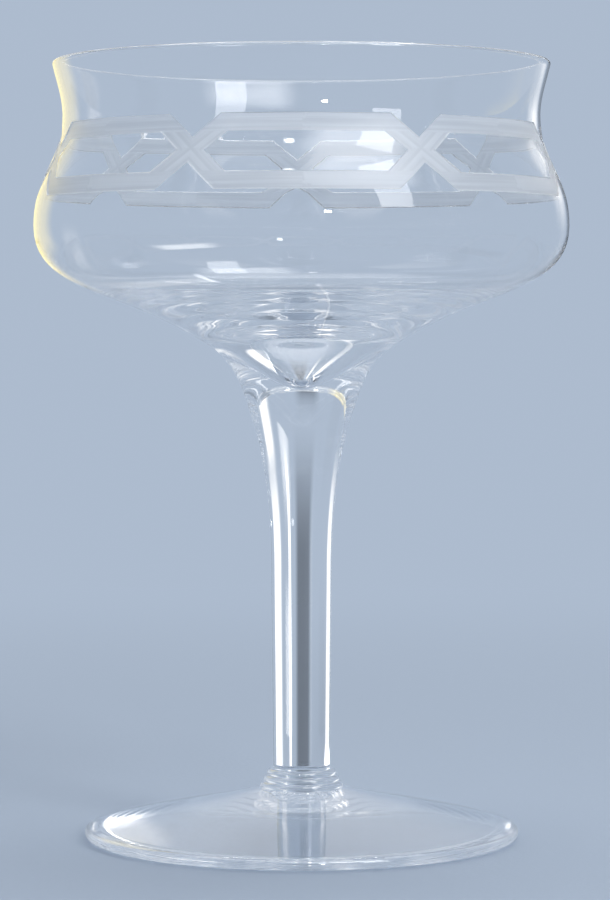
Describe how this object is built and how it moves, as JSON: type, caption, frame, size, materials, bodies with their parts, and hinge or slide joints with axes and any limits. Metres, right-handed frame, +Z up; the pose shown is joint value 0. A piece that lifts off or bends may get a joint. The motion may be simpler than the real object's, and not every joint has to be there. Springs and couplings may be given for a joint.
{
  "type": "sherbet glass",
  "caption": "Stemmed sherbet glass: waisted saucer bowl with a cut band, drawn flaring stem, ringed collar and spread hollow foot, in clear glass.",
  "frame": {"origin": "centre of the standing ring, on the table", "axes": "+Z up along the axis of the glass; the pictured side faces -Y, with +X to its right"},
  "size_m": [0.0874, 0.0874, 0.127],
  "materials": {
    "bowl_glass": "clear blown glass, thin walled, with a band of grey unpolished wheel cutting",
    "stem_glass": "clear drawn glass, fire polished",
    "collar_glass": "clear tooled glass",
    "foot_glass": "clear spun glass, slightly worn on the standing ring"
  },
  "bodies": {
    "root": {"bowl": "bowl_glass", "stem": "stem_glass", "collar": "collar_glass", "foot": "foot_glass"}
  },
  "joints": []
}
